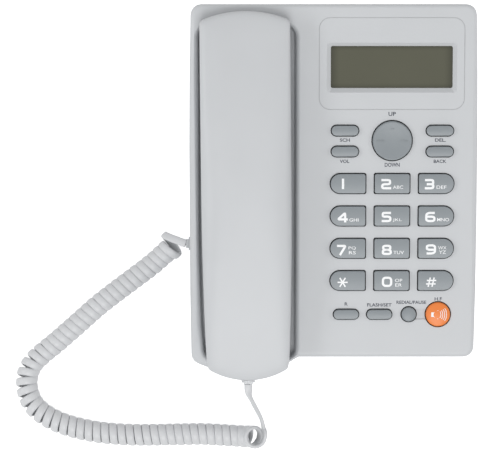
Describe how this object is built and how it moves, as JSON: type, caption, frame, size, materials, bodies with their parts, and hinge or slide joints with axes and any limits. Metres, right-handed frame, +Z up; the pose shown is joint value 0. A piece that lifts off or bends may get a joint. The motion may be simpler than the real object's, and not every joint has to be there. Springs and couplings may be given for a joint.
{
  "type": "corded landline phone",
  "caption": "Light grey corded desk telephone: wedge base with sunk cradle, keypad and display, lift-off handset and curly cord.",
  "frame": {"origin": "on the table under the middle of the phone without its cord", "axes": "+X to the right of the keypad, +Y from the front edge to the rear edge, +Z up"},
  "size_m": [0.2666, 0.2548, 0.0619],
  "materials": {
    "plastic": "fine satin moulded",
    "window": "clear polished",
    "lcd": "matt",
    "board": "satin",
    "silicone": "matt",
    "steel": "satin",
    "ribbon": "satin",
    "dark_plastic": "satin",
    "clear_plastic": "clear glossy",
    "rubber": "matt",
    "orange": "satin",
    "cord": "satin soft vinyl",
    "key_plastic": "satin"
  },
  "bodies": {
    "base": {"base_top_cover": "plastic", "base_bottom_cover": "plastic", "display_bezel": "plastic", "display_window": "window", "lcd_module": "lcd", "keypad_board": "board", "keypad_membrane": "silicone", "keypad_board_screws": "steel", "main_board": "board", "ribbon_cable": "ribbon", "hook_switch": "dark_plastic", "loudspeaker": "dark_plastic", "handsfree_microphone": "dark_plastic", "line_socket": "dark_plastic", "base_handset_socket": "dark_plastic", "base_plug": "clear_plastic", "ringer_switch": "dark_plastic", "ballast_plate": "steel", "batteries": "steel", "battery_contacts": "steel", "base_screws": "steel", "rubber_feet": "rubber", "base_lead": "cord", "coil_cord": "cord", "handset_lead": "cord"},
    "handset": {"handset_outer_shell": "plastic", "handset_inner_shell": "plastic", "ear_cap": "plastic", "mouth_cap": "plastic", "receiver": "dark_plastic", "receiver_gasket": "silicone", "handset_microphone": "dark_plastic", "handset_ballast": "steel", "handset_socket": "dark_plastic", "handset_plug": "clear_plastic", "handset_screws": "steel"},
    "key_1": {"key_1": "key_plastic"},
    "key_2": {"key_2": "key_plastic"},
    "key_3": {"key_3": "key_plastic"},
    "key_4": {"key_4": "key_plastic"},
    "key_5": {"key_5": "key_plastic"},
    "key_6": {"key_6": "key_plastic"},
    "key_7": {"key_7": "key_plastic"},
    "key_8": {"key_8": "key_plastic"},
    "key_9": {"key_9": "key_plastic"},
    "key_star": {"key_star": "key_plastic"},
    "key_0": {"key_0": "key_plastic"},
    "key_hash": {"key_hash": "key_plastic"},
    "key_search": {"key_search": "key_plastic"},
    "key_volume": {"key_volume": "key_plastic"},
    "key_delete": {"key_delete": "key_plastic"},
    "key_back": {"key_back": "key_plastic"},
    "key_recall": {"key_recall": "key_plastic"},
    "key_flash": {"key_flash": "key_plastic"},
    "key_redial": {"key_redial": "key_plastic"},
    "key_handsfree": {"key_handsfree": "orange"},
    "nav_rocker": {"nav_rocker": "key_plastic"},
    "hook_plunger": {"hook_plunger": "plastic"},
    "battery_door": {"battery_door": "plastic"},
    "ringer_knob": {"ringer_knob": "plastic"}
  },
  "joints": [
    {"name": "handset_lift", "type": "slide", "parent": "base", "child": "handset", "axis": [0, -0.1132, 0.9936], "range_m": [0, 0.08], "deforming": ["handset_lead"]},
    {"name": "plunger_rise", "type": "slide", "parent": "base", "child": "hook_plunger", "axis": [0, -0.1132, 0.9936], "range_m": [0, 0.004]},
    {"name": "key_1_press", "type": "slide", "parent": "base", "child": "key_1", "axis": [0, 0.1132, -0.9936], "range_m": [0, 0.0015], "stiffness_N_per_m": 300, "deforming": ["keypad_membrane"]},
    {"name": "key_2_press", "type": "slide", "parent": "base", "child": "key_2", "axis": [0, 0.1132, -0.9936], "range_m": [0, 0.0015], "stiffness_N_per_m": 300, "deforming": ["keypad_membrane"]},
    {"name": "key_3_press", "type": "slide", "parent": "base", "child": "key_3", "axis": [0, 0.1132, -0.9936], "range_m": [0, 0.0015], "stiffness_N_per_m": 300, "deforming": ["keypad_membrane"]},
    {"name": "key_4_press", "type": "slide", "parent": "base", "child": "key_4", "axis": [0, 0.1132, -0.9936], "range_m": [0, 0.0015], "stiffness_N_per_m": 300, "deforming": ["keypad_membrane"]},
    {"name": "key_5_press", "type": "slide", "parent": "base", "child": "key_5", "axis": [0, 0.1132, -0.9936], "range_m": [0, 0.0015], "stiffness_N_per_m": 300, "deforming": ["keypad_membrane"]},
    {"name": "key_6_press", "type": "slide", "parent": "base", "child": "key_6", "axis": [0, 0.1132, -0.9936], "range_m": [0, 0.0015], "stiffness_N_per_m": 300, "deforming": ["keypad_membrane"]},
    {"name": "key_7_press", "type": "slide", "parent": "base", "child": "key_7", "axis": [0, 0.1132, -0.9936], "range_m": [0, 0.0015], "stiffness_N_per_m": 300, "deforming": ["keypad_membrane"]},
    {"name": "key_8_press", "type": "slide", "parent": "base", "child": "key_8", "axis": [0, 0.1132, -0.9936], "range_m": [0, 0.0015], "stiffness_N_per_m": 300, "deforming": ["keypad_membrane"]},
    {"name": "key_9_press", "type": "slide", "parent": "base", "child": "key_9", "axis": [0, 0.1132, -0.9936], "range_m": [0, 0.0015], "stiffness_N_per_m": 300, "deforming": ["keypad_membrane"]},
    {"name": "key_star_press", "type": "slide", "parent": "base", "child": "key_star", "axis": [0, 0.1132, -0.9936], "range_m": [0, 0.0015], "stiffness_N_per_m": 300, "deforming": ["keypad_membrane"]},
    {"name": "key_0_press", "type": "slide", "parent": "base", "child": "key_0", "axis": [0, 0.1132, -0.9936], "range_m": [0, 0.0015], "stiffness_N_per_m": 300, "deforming": ["keypad_membrane"]},
    {"name": "key_hash_press", "type": "slide", "parent": "base", "child": "key_hash", "axis": [0, 0.1132, -0.9936], "range_m": [0, 0.0015], "stiffness_N_per_m": 300, "deforming": ["keypad_membrane"]},
    {"name": "key_search_press", "type": "slide", "parent": "base", "child": "key_search", "axis": [0, 0.1132, -0.9936], "range_m": [0, 0.0015], "stiffness_N_per_m": 300, "deforming": ["keypad_membrane"]},
    {"name": "key_volume_press", "type": "slide", "parent": "base", "child": "key_volume", "axis": [0, 0.1132, -0.9936], "range_m": [0, 0.0015], "stiffness_N_per_m": 300, "deforming": ["keypad_membrane"]},
    {"name": "key_delete_press", "type": "slide", "parent": "base", "child": "key_delete", "axis": [0, 0.1132, -0.9936], "range_m": [0, 0.0015], "stiffness_N_per_m": 300, "deforming": ["keypad_membrane"]},
    {"name": "key_back_press", "type": "slide", "parent": "base", "child": "key_back", "axis": [0, 0.1132, -0.9936], "range_m": [0, 0.0015], "stiffness_N_per_m": 300, "deforming": ["keypad_membrane"]},
    {"name": "key_recall_press", "type": "slide", "parent": "base", "child": "key_recall", "axis": [0, 0.1132, -0.9936], "range_m": [0, 0.0015], "stiffness_N_per_m": 300, "deforming": ["keypad_membrane"]},
    {"name": "key_flash_press", "type": "slide", "parent": "base", "child": "key_flash", "axis": [0, 0.1132, -0.9936], "range_m": [0, 0.0015], "stiffness_N_per_m": 300, "deforming": ["keypad_membrane"]},
    {"name": "key_redial_press", "type": "slide", "parent": "base", "child": "key_redial", "axis": [0, 0.1132, -0.9936], "range_m": [0, 0.0015], "stiffness_N_per_m": 300, "deforming": ["keypad_membrane"]},
    {"name": "key_handsfree_press", "type": "slide", "parent": "base", "child": "key_handsfree", "axis": [0, 0.1132, -0.9936], "range_m": [0, 0.0015], "stiffness_N_per_m": 300, "deforming": ["keypad_membrane"]},
    {"name": "nav_rock", "type": "hinge", "parent": "base", "child": "nav_rocker", "pos_m": [0.0334, 0.03024, 0.03493], "axis": [1, 0, 0], "range_deg": [-3, 3], "stiffness_Nm_per_rad": 1, "deforming": ["keypad_membrane"]},
    {"name": "battery_door_open", "type": "hinge", "parent": "base", "child": "battery_door", "pos_m": [0.0132, -0.0907, 0.002], "axis": [-1, 0, 0], "range_deg": [0, 70]},
    {"name": "ringer_slide", "type": "slide", "parent": "base", "child": "ringer_knob", "axis": [0, 1, 0], "range_m": [0, 0.0042]}
  ],
  "couplings": [
    {"joint": "plunger_rise", "follows": "handset_lift", "ratio": 0.05}
  ]
}
